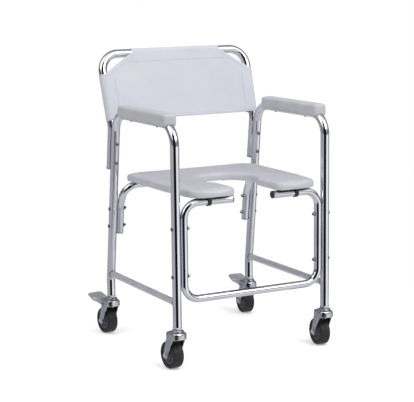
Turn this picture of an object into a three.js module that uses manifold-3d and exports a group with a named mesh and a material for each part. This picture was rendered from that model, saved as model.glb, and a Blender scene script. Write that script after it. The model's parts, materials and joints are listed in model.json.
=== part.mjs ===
// Commode chair on four swivel casters. Millimetres, +Z up, -Y is the sitter's front.
// Two bent side frames carry the arms and legs. A front tube with a footrest bar, a rear seat
// tube and a bent back frame are bolted between them. The origin is on the floor, under the
// middle of the whole chair.
import * as THREE from 'three';
import { mergeVertices } from 'three/addons/utils/BufferGeometryUtils.js';
import Module from 'manifold-3d';

const wasm = await Module();
wasm.setup();

// ---- Driving dimensions -------------------------------------------------------------------

const GAP = 0.35;                 // clearance between pieces that touch
const SIDES = [['left', -1], ['right', 1]];

const legHalfSpacing = 245.5;     // side-frame centreline from the chair's middle
const frameTube = { radius: 12.7, wall: 1.5 };
const seatTube = { radius: 11, wall: 1.5 };
const railTube = { radius: 9.5, wall: 1.5 };

const frontLegY = -226;
const rearFootY = 224;
const rearRake = 0.13;            // how far the rear leg comes forward for each unit of height
const rearRakeStart = 175;        // the rear leg is upright below this height
const legBottom = 126;
const armHeight = 694;            // arm tube centreline
const armBend = 60;
const railHeight = 194;

const footrestHeight = 199;
const stubEndX = 68;              // where the front tube's upper stubs stop
const seatTubeHeight = 475;
const seatTubeBend = 45;
const seatTubeInset = 24.4;       // seat tubes run this far inboard of the legs
const rearTubeBottom = 325;
const rearTubeTopY = 160;
const rearTubeKink = 412;         // the rear seat tube leans forward above this height

const backOffset = 27;            // back tube behind the rear leg
const backBottom = 526;
const backKink = 650;
const backLean = 0.3;
const backTop = 865;
const backTopHalfWidth = 251;
const backBend = 55;

const frontBoltHeights = [['upper', 405], ['lower', 269]];
const rearBoltHeights = [['upper', 400], ['lower', 346]];
const backBoltHeights = [['upper', 602], ['lower', 544]];
const bolt = { shank: 3, head: 5.8, headHeight: 2.6, nut: 5.2, nutHeight: 5, tail: 2 };

const seat = { bottom: 488, boardTop: 491.5, top: 512, front: -260, rear: 164,
               frontHalf: 207, midHalf: 218.5, rearHalf: 221, midY: -15,
               frontCorner: 46, rearCorner: 26, edge: 4, boardInset: 12 };
const hole = { radius: 88, y: -80, mouthHalf: 67, mouthCorner: 24 };

const armPad = { bottom: 686, top: 724, halfWidth: 22, front: -203, rear: 107, corner: 14, edge: 5 };
const sling = { bottom: 668, sideTop: 804, topHalf: 150, thickness: 1.6, panel: 3, panelAhead: 11 };
const clip = { width: 11, wall: 2.4, flange: 10 };
const clipX = { front: 143, rear: 120 };

const caster = { axle: 40, trail: 30, toeOut: 5, tyreRadius: 40, tyreHalf: 16.5, rimRadius: 26,
                 hubHalf: 17, crownTop: 111, crownThick: 3.5, crownHalf: 22.5, crownFront: -23,
                 crownRear: 25, skirt: 19, cheek: 2.5, cheekFoot: 11, pinRadius: 5, axleRadius: 4 };
const pedal = { pivotY: 19, pivotZ: 97, tipY: 110, tipZ: 109, tipHalf: 25, neckHalf: 17,
                thick: 3, pin: 3, lug: 14 };

// ---- Materials ----------------------------------------------------------------------------

const finish = (color, roughness, metalness) =>
  () => new THREE.MeshStandardMaterial({ color, roughness, metalness });
const polishedTube = finish(0xc9cbd2, 0.18, 1);
const satinTube = finish(0xb6b8c0, 0.35, 1);
const zinc = finish(0xb4b6ba, 0.38, 1);
const boltSteel = finish(0x8d9095, 0.35, 1);
const blackPlastic = finish(0x2a2b2e, 0.5, 0);
const greyPlastic = finish(0x9c9ea3, 0.5, 0);
const slingVinyl = finish(0xd3d5e0, 0.6, 0);
const seatVinyl = finish(0xb9b9c1, 0.5, 0);
const padFoam = finish(0xb2b3b8, 0.6, 0);
const boardBlack = finish(0x45464a, 0.6, 0);
const tyreRubber = finish(0x33343a, 0.75, 0);
const hubPlastic = finish(0x6c6d74, 0.5, 0);

// ---- Geometry helpers ---------------------------------------------------------------------

function toSolid(geometry) {
  const bare = geometry.clone();
  bare.deleteAttribute('normal');
  bare.deleteAttribute('uv');
  const merged = mergeVertices(bare, 1e-4);
  const corners = merged.index.array;
  const kept = [];
  for (let i = 0; i < corners.length; i += 3) {
    const [a, b, c] = corners.slice(i, i + 3);
    if (a !== b && b !== c && c !== a) kept.push(a, b, c);
  }
  return new wasm.Manifold(new wasm.Mesh({
    numProp: 3,
    vertProperties: new Float32Array(merged.attributes.position.array),
    triVerts: new Uint32Array(kept),
  }));
}

function toGeometry(solid) {
  const mesh = solid.getMesh();
  const geometry = new THREE.BufferGeometry();
  geometry.setAttribute('position', new THREE.BufferAttribute(mesh.vertProperties, 3));
  geometry.setIndex(new THREE.BufferAttribute(mesh.triVerts, 1));
  geometry.computeVertexNormals();
  return geometry;
}

const cut = (geometry, ...cutters) =>
  toGeometry(cutters.reduce((solid, cutter) => solid.subtract(toSolid(cutter)), toSolid(geometry)));
const join = (first, ...others) =>
  toGeometry(others.reduce((solid, other) => solid.add(toSolid(other)), toSolid(first)));

// A path through listed stations, so that a straight run is one long facet.
class StationPath extends THREE.Curve {
  constructor(stations) {
    super();
    this.stations = stations;
  }

  station(u) {
    return this.stations[Math.round(u * (this.stations.length - 1))];
  }

  getPointAt(u, target = new THREE.Vector3()) {
    return target.copy(this.station(u).point);
  }

  getTangentAt(u, target = new THREE.Vector3()) {
    return target.copy(this.station(u).tangent);
  }
}

const STEP_ANGLE = THREE.MathUtils.degToRad(22.5);

// Straight runs between the corners, each corner rounded to a bend radius.
function bentPath(corners, bendRadius) {
  const direction = (a, b) => b.clone().sub(a).normalize();
  const last = corners.length - 1;
  const stations = [{ point: corners[0], tangent: direction(corners[0], corners[1]) }];
  for (let i = 1; i < last; i += 1) {
    const before = direction(corners[i - 1], corners[i]);
    const after = direction(corners[i], corners[i + 1]);
    const turn = before.angleTo(after);
    const inward = after.clone().addScaledVector(before, -after.dot(before)).normalize();
    const start = corners[i].clone().addScaledVector(before, -bendRadius * Math.tan(turn / 2));
    const steps = Math.max(2, Math.ceil(turn / STEP_ANGLE));
    for (let k = 0; k <= steps; k += 1) {
      const angle = turn * k / steps;
      stations.push({
        point: start.clone().addScaledVector(before, bendRadius * Math.sin(angle))
          .addScaledVector(inward, bendRadius * (1 - Math.cos(angle))),
        tangent: before.clone().multiplyScalar(Math.cos(angle))
          .addScaledVector(inward, Math.sin(angle)),
      });
    }
  }
  stations.push({ point: corners[last], tangent: direction(corners[last - 1], corners[last]) });
  return new StationPath(stations);
}

const ring = (radius, sides) => Array.from({ length: sides }, (_, i) => {
  const angle = 2 * Math.PI * (i + 0.5) / sides;
  return new THREE.Vector2(radius * Math.cos(angle), radius * Math.sin(angle));
});

function sweep(path, outerRadius, boreRadius = 0, sides = 10) {
  const shape = new THREE.Shape(ring(outerRadius, sides));
  if (boreRadius > 0) shape.holes.push(new THREE.Path(ring(boreRadius, 8)));
  return new THREE.ExtrudeGeometry(shape, { steps: path.stations.length - 1, extrudePath: path });
}

const tube = (path, size) => sweep(path, size.radius, size.radius - size.wall);

// A turned piece about its local Y axis, laid along a direction from a point.
function turned(profile, segments, origin, direction) {
  const points = profile.map(([radius, along]) => new THREE.Vector2(radius, along));
  const geometry = new THREE.LatheGeometry(points, segments);
  const turn = new THREE.Quaternion().setFromUnitVectors(new THREE.Vector3(0, 1, 0), direction);
  return geometry.applyQuaternion(turn).translate(origin.x, origin.y, origin.z);
}

function rod(from, to, radius, segments = 12) {
  const direction = to.clone().sub(from);
  const profile = [[0, 0], [radius, 0], [radius, direction.length()], [0, direction.length()]];
  return turned(profile, segments, from, direction.normalize());
}

function slab(shape, bottom, top, bevel, curveSegments) {
  return new THREE.ExtrudeGeometry(shape, {
    depth: top - bottom - 2 * bevel,
    bevelEnabled: bevel > 0,
    bevelThickness: bevel,
    bevelSize: bevel,
    bevelOffset: -bevel,
    bevelSegments: 1,
    curveSegments,
  }).translate(0, 0, bottom + bevel);
}

function plainSlab(shape, bottom, top, curveSegments) {
  return new THREE.ExtrudeGeometry(shape, { depth: top - bottom, bevelEnabled: false, curveSegments })
    .translate(0, 0, bottom);
}

const vec = (x, y, z) => new THREE.Vector3(x, y, z);
const AXIS_X = vec(1, 0, 0);

// ---- Where the tubes run ------------------------------------------------------------------

const rearLegY = (z) => rearFootY - rearRake * Math.max(0, z - rearRakeStart);
const rearLegDirection = vec(0, -rearRake, 1).normalize();
const backY = (z) => rearLegY(backKink) + backOffset + backLean * (z - backKink);
const seatTubeX = legHalfSpacing - seatTubeInset;

const sideFramePath = (sign) => {
  const x = sign * legHalfSpacing;
  return bentPath([
    vec(x, frontLegY, legBottom),
    vec(x, frontLegY, armHeight),
    vec(x, rearLegY(armHeight), armHeight),
    vec(x, rearFootY, rearRakeStart),
    vec(x, rearFootY, legBottom),
  ], armBend);
};

const frontFramePath = bentPath([
  vec(-stubEndX, frontLegY, seatTubeHeight),
  vec(-seatTubeX, frontLegY, seatTubeHeight),
  vec(-seatTubeX, frontLegY, footrestHeight),
  vec(seatTubeX, frontLegY, footrestHeight),
  vec(seatTubeX, frontLegY, seatTubeHeight),
  vec(stubEndX, frontLegY, seatTubeHeight),
], seatTubeBend);

const rearSeatPath = bentPath([
  vec(-seatTubeX, rearLegY(rearTubeBottom), rearTubeBottom),
  vec(-seatTubeX, rearLegY(rearTubeKink), rearTubeKink),
  vec(-seatTubeX, rearTubeTopY, seatTubeHeight),
  vec(seatTubeX, rearTubeTopY, seatTubeHeight),
  vec(seatTubeX, rearLegY(rearTubeKink), rearTubeKink),
  vec(seatTubeX, rearLegY(rearTubeBottom), rearTubeBottom),
], seatTubeBend);

const backBottomPoint = (sign) =>
  vec(sign * legHalfSpacing, rearLegY(backBottom) + backOffset, backBottom);
const backFramePath = bentPath([
  backBottomPoint(-1),
  vec(-legHalfSpacing, backY(backKink), backKink),
  vec(-backTopHalfWidth, backY(backTop), backTop),
  vec(backTopHalfWidth, backY(backTop), backTop),
  vec(legHalfSpacing, backY(backKink), backKink),
  backBottomPoint(1),
], backBend);

// Point of a side tube of the back frame at a height above its lower kink.
const backTubeAt = (sign, z) => {
  const share = (z - backKink) / (backTop - backKink);
  const x = THREE.MathUtils.lerp(legHalfSpacing, backTopHalfWidth, share);
  return vec(sign * x, backY(z), z);
};

// ---- Building the chair -------------------------------------------------------------------

const chair = new THREE.Group();

function add(name, geometry, material) {
  const mesh = new THREE.Mesh(geometry, material());
  mesh.name = name;
  chair.add(mesh);
}

const boltHole = (from, to) => rod(from, to, bolt.shank + 2 * GAP, 6);

function screwBolt(from, direction, grip) {
  const length = grip + bolt.nutHeight + bolt.tail;
  return turned([
    [0, -bolt.headHeight], [bolt.head * 0.6, -bolt.headHeight], [bolt.head, 0],
    [bolt.shank, 0], [bolt.shank, grip], [bolt.nut, grip], [bolt.nut, grip + bolt.nutHeight],
    [0, length],
  ], 6, from, direction);
}

function addSideFrames() {
  for (const [side, sign] of SIDES) {
    const holes = [];
    for (const [, z] of frontBoltHeights) {
      const centre = vec(sign * legHalfSpacing, frontLegY, z);
      holes.push(boltHole(centre.clone().addScaledVector(AXIS_X, -20), centre.addScaledVector(AXIS_X, 20)));
    }
    for (const [, z] of rearBoltHeights) {
      const centre = vec(sign * legHalfSpacing, rearLegY(z), z);
      holes.push(boltHole(centre.clone().addScaledVector(AXIS_X, -20), centre.addScaledVector(AXIS_X, 20)));
    }
    for (const [, z] of backBoltHeights) {
      const x = sign * legHalfSpacing;
      holes.push(boltHole(vec(x, rearLegY(z) - 20, z), vec(x, rearLegY(z) + 20, z)));
    }
    add(`side_frame_${side}`, cut(tube(sideFramePath(sign), frameTube), ...holes), polishedTube);
  }
}

function addSideRails() {
  for (const [side, sign] of SIDES) {
    const x = sign * legHalfSpacing;
    const path = bentPath([vec(x, frontLegY, railHeight), vec(x, rearLegY(railHeight), railHeight)], 0);
    const legs = sweep(sideFramePath(sign), frameTube.radius + 2 * GAP, 0, 10);
    const ends = toSolid(tube(path, railTube)).subtract(toSolid(legs)).decompose();
    ends.sort((a, b) => b.volume() - a.volume());
    add(`lower_side_rail_${side}`, toGeometry(ends[0]), satinTube);
  }
}

function crossHoles(y, heights) {
  return SIDES.flatMap(([, sign]) => heights.map(([, z]) =>
    boltHole(vec(sign * (seatTubeX - 20), y(z), z), vec(sign * (seatTubeX + 20), y(z), z))));
}

function addSeatTubes() {
  const frontHoles = crossHoles(() => frontLegY, frontBoltHeights);
  add('front_frame_tube', cut(tube(frontFramePath, seatTube), ...frontHoles), polishedTube);
  const rearHoles = crossHoles(rearLegY, rearBoltHeights);
  add('rear_seat_tube', cut(tube(rearSeatPath, seatTube), ...rearHoles), polishedTube);

  const plugStem = seatTube.radius - seatTube.wall - 1.3;
  const plug = [[0, -3.5], [seatTube.radius - 1, -3.5], [seatTube.radius, -2.5], [seatTube.radius, -GAP],
                [plugStem, -GAP], [plugStem, 14], [0, 14]];
  for (const [side, sign] of SIDES) {
    const stubEnd = vec(sign * stubEndX, frontLegY, seatTubeHeight);
    add(`front_tube_cap_${side}`, turned(plug, 12, stubEnd, vec(sign, 0, 0)), blackPlastic);
    const uprightEnd = vec(sign * seatTubeX, rearLegY(rearTubeBottom), rearTubeBottom);
    add(`rear_tube_plug_${side}`, turned(plug, 12, uprightEnd, rearLegDirection), greyPlastic);
  }
}

function addBackFrame() {
  const holes = SIDES.flatMap(([, sign]) => backBoltHeights.map(([, z]) => {
    const x = sign * legHalfSpacing;
    const y = rearLegY(z) + backOffset;
    return boltHole(vec(x, y - 20, z), vec(x, y + 20, z));
  }));
  add('back_frame_tube', cut(tube(backFramePath, frameTube), ...holes), polishedTube);

  const flange = frameTube.radius + 0.8;
  const stem = frameTube.radius - frameTube.wall - 1.5;
  const plug = [[0, -5], [flange - 1.5, -5], [flange, -3.5], [flange, -GAP],
                [stem, -GAP], [stem, 11], [0, 11]];
  for (const [side, sign] of SIDES) {
    add(`back_tube_plug_${side}`, turned(plug, 12, backBottomPoint(sign), rearLegDirection), greyPlastic);
  }
}

function addBolts() {
  const crossGrip = frameTube.radius + seatTubeInset + seatTube.radius + 2 * GAP;
  const rakeRoom = bolt.head * rearRake + 2 * GAP;
  const backGrip = 2 * (frameTube.radius + rakeRoom) + backOffset;
  for (const [side, sign] of SIDES) {
    const x = sign * legHalfSpacing;
    const outside = sign * (legHalfSpacing + frameTube.radius + GAP);
    const inward = vec(-sign, 0, 0);
    for (const [level, z] of frontBoltHeights) {
      const start = vec(outside, frontLegY, z);
      add(`front_bolt_${side}_${level}`, screwBolt(start, inward, crossGrip), boltSteel);
    }
    for (const [level, z] of rearBoltHeights) {
      const start = vec(outside, rearLegY(z), z);
      add(`rear_bolt_${side}_${level}`, screwBolt(start, inward, crossGrip), boltSteel);
    }
    for (const [level, z] of backBoltHeights) {
      const start = vec(x, rearLegY(z) - frameTube.radius - rakeRoom, z);
      add(`back_bolt_${side}_${level}`, screwBolt(start, vec(0, 1, 0), backGrip), boltSteel);
    }
  }
}

// Horseshoe outline, open to the front, with a round hole.
function seatOutline(inset) {
  const front = seat.front + inset;
  const rear = seat.rear - inset;
  const mouth = hole.mouthHalf + inset;
  const radius = hole.radius + inset;
  const neck = Math.sqrt(radius * radius - mouth * mouth);
  const frontHalf = seat.frontHalf - inset;
  const midHalf = seat.midHalf - inset;
  const rearHalf = seat.rearHalf - inset;
  const corner = hole.mouthCorner;
  const { frontCorner, rearCorner, midY } = seat;
  const frontY = front + frontCorner;
  const rearY = rear - rearCorner;
  const shape = new THREE.Shape();
  shape.moveTo(mouth, hole.y - neck);
  shape.lineTo(mouth, front + corner);
  shape.absarc(mouth + corner, front + corner, corner, Math.PI, 1.5 * Math.PI, false);
  shape.lineTo(frontHalf - frontCorner, front);
  shape.absarc(frontHalf - frontCorner, frontY, frontCorner, -Math.PI / 2, 0, false);
  shape.quadraticCurveTo(midHalf, frontY + 60, midHalf, midY);
  shape.quadraticCurveTo(midHalf, midY + 80, rearHalf, rearY);
  shape.absarc(rearHalf - rearCorner, rearY, rearCorner, 0, Math.PI / 2, false);
  shape.lineTo(rearCorner - rearHalf, rear);
  shape.absarc(rearCorner - rearHalf, rearY, rearCorner, Math.PI / 2, Math.PI, false);
  shape.quadraticCurveTo(-midHalf, midY + 80, -midHalf, midY);
  shape.quadraticCurveTo(-midHalf, frontY + 60, -frontHalf, frontY);
  shape.absarc(frontCorner - frontHalf, frontY, frontCorner, Math.PI, 1.5 * Math.PI, false);
  shape.lineTo(-mouth - corner, front);
  shape.absarc(-mouth - corner, front + corner, corner, -Math.PI / 2, 0, false);
  shape.lineTo(-mouth, hole.y - neck);
  const start = Math.atan2(-neck, -mouth);
  shape.absarc(0, hole.y, radius, start, Math.PI - start, true);
  return shape;
}

function addSeat() {
  add('seat_board', plainSlab(seatOutline(seat.boardInset), seat.bottom, seat.boardTop, 4), boardBlack);
  add('seat_pad', slab(seatOutline(0), seat.boardTop + GAP, seat.top, seat.edge, 4), seatVinyl);
}

// Clip that holds a seat tube up against the seat board: a saddle in front, a hook behind.
function clipOutline(isSaddle) {
  const inner = seatTube.radius + GAP;
  const outer = inner + clip.wall;
  const top = seat.bottom - GAP - seatTubeHeight;
  const shape = new THREE.Shape();
  shape.moveTo(-inner, 0);
  shape.absarc(0, 0, inner, Math.PI, 2 * Math.PI, false);
  if (isSaddle) {
    shape.lineTo(inner, top);
    shape.lineTo(outer + clip.flange, top);
    shape.lineTo(outer + clip.flange, top - clip.wall);
    shape.lineTo(outer, top - clip.wall);
  }
  shape.lineTo(outer, 0);
  shape.absarc(0, 0, outer, 0, -Math.PI, true);
  shape.lineTo(-outer, top - clip.wall);
  shape.lineTo(-outer - clip.flange, top - clip.wall);
  shape.lineTo(-outer - clip.flange, top);
  shape.lineTo(-inner, top);
  return shape;
}

function addSeatClips() {
  for (const [end, y] of [['front', frontLegY], ['rear', rearTubeTopY]]) {
    for (const [side, sign] of SIDES) {
      const geometry = plainSlab(clipOutline(end === 'front'), 0, clip.width, 5);
      geometry.rotateX(Math.PI / 2).rotateZ(Math.PI / 2);
      geometry.translate(sign * clipX[end] - clip.width / 2, y, seatTubeHeight);
      add(`seat_clip_${end}_${side}`, geometry, blackPlastic);
    }
  }
}

function addArmPads() {
  const { halfWidth, corner } = armPad;
  for (const [side, sign] of SIDES) {
    const x = sign * legHalfSpacing;
    const shape = new THREE.Shape();
    shape.moveTo(x - halfWidth + corner, armPad.front);
    shape.absarc(x + halfWidth - corner, armPad.front + corner, corner, -Math.PI / 2, 0, false);
    shape.absarc(x + halfWidth - corner, armPad.rear - corner, corner, 0, Math.PI / 2, false);
    shape.absarc(x - halfWidth + corner, armPad.rear - corner, corner, Math.PI / 2, Math.PI, false);
    shape.absarc(x - halfWidth + corner, armPad.front + corner, corner, Math.PI, 1.5 * Math.PI, false);
    const groove = sweep(sideFramePath(sign), frameTube.radius + 2 * GAP, 0, 10);
    add(`arm_pad_${side}`, cut(slab(shape, armPad.bottom, armPad.top, armPad.edge, 3), groove), padFoam);
  }
}

// Back upholstery: sleeves around the two side tubes and the top tube, and the panel they hold.
function addSling() {
  const bore = frameTube.radius + GAP;
  const outer = bore + sling.thickness;
  const sleevePath = (from, to) => bentPath([from, to], 0);
  const ahead = (point) => {
    const shift = sling.panelAhead / Math.hypot(1, backLean);
    return point.clone().add(vec(0, -shift, backLean * shift));
  };
  const up = vec(0, backLean, 1).normalize();
  const across = AXIS_X;
  const depth = across.clone().cross(up);
  const basis = new THREE.Matrix4().makeBasis(across, up, depth);
  const base = ahead(vec(0, backY(sling.bottom), sling.bottom));
  const rise = (z) => (z - sling.bottom) * Math.hypot(1, backLean);
  const halfAt = (z) => backTubeAt(1, z).x;
  const shape = new THREE.Shape([
    new THREE.Vector2(-halfAt(sling.bottom), 0),
    new THREE.Vector2(halfAt(sling.bottom), 0),
    new THREE.Vector2(halfAt(sling.sideTop), rise(sling.sideTop)),
    new THREE.Vector2(sling.topHalf, rise(backTop) - 2),
    new THREE.Vector2(-sling.topHalf, rise(backTop) - 2),
    new THREE.Vector2(-halfAt(sling.sideTop), rise(sling.sideTop)),
  ]);
  const panel = new THREE.ExtrudeGeometry(shape, { depth: sling.panel, bevelEnabled: false })
    .translate(0, 0, -sling.panel / 2)
    .applyMatrix4(basis)
    .translate(base.x, base.y, base.z);
  const sleeves = SIDES.map(([, sign]) =>
    sweep(sleevePath(backTubeAt(sign, sling.bottom), backTubeAt(sign, sling.sideTop)), outer, 0, 10));
  const topEnd = (sign) => vec(sign * sling.topHalf, backY(backTop), backTop);
  sleeves.push(sweep(sleevePath(topEnd(-1), topEnd(1)), outer, 0, 10));
  const frameRoom = sweep(backFramePath, bore, 0, 10);
  add('back_sling', cut(join(panel, ...sleeves), frameRoom), slingVinyl);
}

// ---- Casters ------------------------------------------------------------------------------

const AXIS_Z = vec(0, 0, 1);

// Each caster is drawn about its stem, trailing along +Y, and then turned and put under its leg.
function placeCaster(geometry, end, sign) {
  const y = end === 'front' ? frontLegY : rearFootY;
  geometry.rotateZ(-sign * THREE.MathUtils.degToRad(caster.toeOut));
  return geometry.translate(sign * legHalfSpacing, y, 0);
}

// The crown's outline in plan: straight sides and a rounded front.
function crownOutline(inset) {
  const half = caster.crownHalf - inset;
  const front = caster.crownFront + inset;
  const shoulder = caster.crownFront + 15;
  const shape = new THREE.Shape();
  shape.moveTo(-half, shoulder);
  shape.quadraticCurveTo(-half, front, 0, front);
  shape.quadraticCurveTo(half, front, half, shoulder);
  shape.lineTo(half, caster.crownRear);
  shape.lineTo(-half, caster.crownRear);
  return shape;
}

function forkGeometry(hasBrake) {
  const { crownHalf, crownFront, crownRear, crownTop, crownThick, trail, axle, cheek, cheekFoot, skirt } = caster;
  const plate = plainSlab(crownOutline(0), crownTop - crownThick, crownTop, 4);
  const shoulder = crownFront + 15;
  const hood = cut(
    plainSlab(crownOutline(0), crownTop - skirt, crownTop - 0.5, 4),
    plainSlab(crownOutline(cheek), crownTop - skirt - 5, crownTop - crownThick, 4),
    new THREE.BoxGeometry(100, 100, 100).translate(0, shoulder + 51, crownTop - 20),
  );

  const side = new THREE.Shape();
  const footY = trail;
  side.moveTo(shoulder, crownTop - 0.5);
  side.lineTo(shoulder, crownTop - skirt);
  side.lineTo(footY - cheekFoot, axle);
  side.absarc(footY, axle, cheekFoot, Math.PI, 2 * Math.PI, false);
  side.lineTo(crownRear, crownTop - skirt);
  side.lineTo(crownRear, crownTop - 0.5);
  const cheeks = [-1, 1].map((sign) => {
    const geometry = plainSlab(side, 0, cheek, 3);
    geometry.rotateX(Math.PI / 2).rotateZ(Math.PI / 2);
    return geometry.translate(sign > 0 ? crownHalf - cheek : -crownHalf, 0, 0);
  });
  const cutters = [
    rod(vec(0, 0, crownTop - 10), vec(0, 0, crownTop + 10), caster.pinRadius + 2 * GAP, 8),
    rod(vec(-30, footY, axle), vec(30, footY, axle), caster.axleRadius + 2 * GAP, 8),
  ];
  if (hasBrake) {
    const { pivotY, pivotZ, pin } = pedal;
    cutters.push(rod(vec(-30, pivotY, pivotZ), vec(30, pivotY, pivotZ), pin + 2 * GAP, 8));
  }
  return cut(join(plate, hood, ...cheeks), ...cutters);
}

function stemGeometry() {
  const { crownTop, crownThick, pinRadius } = caster;
  const race = crownTop + GAP;
  const collarTop = legBottom - GAP;
  const plug = frameTube.radius - frameTube.wall - 1.2;
  const rivet = crownTop - crownThick - GAP;
  return turned([
    [0, rivet - 3], [pinRadius + 3, rivet - 3], [pinRadius + 3, rivet], [pinRadius, rivet],
    [pinRadius, race], [18.5, race], [18.5, race + 5], [15.5, race + 7],
    [15.5, collarTop], [plug, collarTop], [plug, collarTop + 38], [0, collarTop + 38],
  ], 12, vec(0, 0, 0), AXIS_Z);
}

// Turned about the axle, with a flat facet lowest.
function wheelRing(profile, segments) {
  const points = profile.map(([radius, along]) => new THREE.Vector2(radius, along));
  const geometry = new THREE.LatheGeometry(points, segments);
  geometry.rotateY(Math.PI / segments).rotateZ(Math.PI / 2);
  return geometry.translate(0, caster.trail, caster.axle);
}

function tyreGeometry() {
  const segments = 24;
  const tread = caster.tyreRadius / Math.cos(Math.PI / segments);
  const inner = caster.rimRadius + GAP;
  const half = caster.tyreHalf;
  return wheelRing([
    [inner, -half + 3], [tread - 5, -half], [tread, -half + 4],
    [tread, half - 4], [tread - 5, half], [inner, half - 3], [inner, -half + 3],
  ], segments);
}

function hubGeometry() {
  const segments = 16;
  const rim = (caster.rimRadius - 0.2) * Math.cos(Math.PI / segments);
  const bore = caster.axleRadius + 2 * GAP;
  const half = caster.hubHalf;
  return wheelRing([
    [bore, -half], [9, -half], [10, -half + 7], [rim, -half + 7],
    [rim, half - 7], [10, half - 7], [9, half], [bore, half], [bore, -half],
  ], segments);
}

function axleGeometry() {
  const outside = caster.crownHalf + GAP;
  const { axleRadius } = caster;
  return turned([
    [0, -outside - 4.5], [6.5, -outside - 4.5], [6.5, -outside], [axleRadius, -outside],
    [axleRadius, outside], [6.5, outside], [6.5, outside + 4.5], [0, outside + 4.5],
  ], 6, vec(0, caster.trail, caster.axle), AXIS_X);
}

function pedalGeometry() {
  const { pivotY, pivotZ, tipY, tipZ, tipHalf, neckHalf, thick } = pedal;
  const run = tipY - pivotY;
  const slope = Math.atan2(tipZ - pivotZ, run);
  const length = Math.hypot(run, tipZ - pivotZ);
  const shape = new THREE.Shape();
  shape.moveTo(-neckHalf, 0);
  shape.lineTo(neckHalf, 0);
  shape.lineTo(neckHalf, length * 0.42);
  shape.lineTo(tipHalf, length * 0.66);
  shape.lineTo(tipHalf, length - 6);
  shape.lineTo(tipHalf - 6, length);
  shape.lineTo(6 - tipHalf, length);
  shape.lineTo(-tipHalf, length - 6);
  shape.lineTo(-tipHalf, length * 0.66);
  shape.lineTo(-neckHalf, length * 0.42);
  const plate = plainSlab(shape, -thick / 2, thick / 2, 1).rotateX(slope).translate(0, pivotY, pivotZ);
  const pinEnd = caster.crownHalf + 1.5;
  const pin = rod(vec(-pinEnd, pivotY, pivotZ), vec(pinEnd, pivotY, pivotZ), pedal.pin, 8);
  const shoe = new THREE.BoxGeometry(2 * neckHalf - 4, 8, pedal.lug)
    .translate(0, pivotY + 10, pivotZ - pedal.lug / 2 + 1.5);
  return join(plate, pin, shoe);
}

function addCasters() {
  for (const end of ['front', 'rear']) {
    for (const [side, sign] of SIDES) {
      const name = `${end}_${side}`;
      const pieces = [
        [`caster_stem_${name}`, stemGeometry(), zinc],
        [`caster_fork_${name}`, forkGeometry(end === 'rear'), zinc],
        [`caster_axle_${name}`, axleGeometry(), boltSteel],
        [`wheel_hub_${name}`, hubGeometry(), hubPlastic],
        [`wheel_tyre_${name}`, tyreGeometry(), tyreRubber],
      ];
      if (end === 'rear') pieces.push([`brake_pedal_${side}`, pedalGeometry(), zinc]);
      for (const [piece, geometry, material] of pieces) add(piece, placeCaster(geometry, end, sign), material);
    }
  }
}

addSideFrames();
addSideRails();
addSeatTubes();
addBackFrame();
addBolts();
addSeat();
addSeatClips();
addArmPads();
addSling();
addCasters();

// The floor origin sits halfway between the seat's front edge and the pedals' rearmost points.
chair.updateMatrixWorld(true);
const extent = new THREE.Box3().setFromObject(chair, true);
chair.position.y = -(extent.min.y + extent.max.y) / 2;

export default chair;
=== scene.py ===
"""Looks for the wheeled commode chair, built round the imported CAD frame. Blender 4.5."""

import json
from math import acos, atan2, ceil, copysign, cos, degrees, hypot, pi, radians, sin, sqrt, tan

import bmesh
import bpy
import numpy as np
from mathutils import Matrix, Vector


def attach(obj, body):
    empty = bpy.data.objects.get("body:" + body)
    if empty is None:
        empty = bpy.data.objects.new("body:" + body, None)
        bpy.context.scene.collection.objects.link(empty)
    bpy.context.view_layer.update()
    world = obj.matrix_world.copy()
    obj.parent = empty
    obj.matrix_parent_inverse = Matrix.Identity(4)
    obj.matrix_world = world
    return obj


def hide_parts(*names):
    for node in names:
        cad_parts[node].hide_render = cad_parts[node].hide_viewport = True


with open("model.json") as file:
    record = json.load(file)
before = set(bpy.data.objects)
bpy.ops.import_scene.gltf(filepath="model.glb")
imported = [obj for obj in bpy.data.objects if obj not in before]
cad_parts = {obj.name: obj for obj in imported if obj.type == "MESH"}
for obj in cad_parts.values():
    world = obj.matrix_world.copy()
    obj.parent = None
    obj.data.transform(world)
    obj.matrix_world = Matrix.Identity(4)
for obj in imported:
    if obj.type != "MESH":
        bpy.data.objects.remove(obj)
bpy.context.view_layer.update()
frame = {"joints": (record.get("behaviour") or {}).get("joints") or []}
scene = bpy.context.scene

# ---- Driving dimensions, in millimetres ----
# Lengths are written before the chair was centred; piece() adds the shift that the frame shows.

MM = 0.001
SIDES = (("left", -1), ("right", 1))
JOINTS = {j["name"]: j for j in frame["joints"]}


def pivot(joint):
    return np.array(JOINTS[joint]["pos_m"]) / MM


SWIVEL, AXLE = pivot("caster_swivel_front_left"), pivot("wheel_spin_front_left")
FRONT_LEG_Y = -226
SHIFT_Y = SWIVEL[1] - FRONT_LEG_Y
LEG_X, CROWN_TOP, AXLE_Z = abs(SWIVEL[0]), SWIVEL[2], AXLE[2]
REAR_FOOT_Y = pivot("caster_swivel_rear_left")[1] - SHIFT_Y
TRAIL = float(np.hypot(*(AXLE - SWIVEL)[:2]))

FRAME_R = 12.7
SEAT_TUBE_R = 11
RAIL_R = 9.5
TUBE_WALL = 1.5

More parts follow.
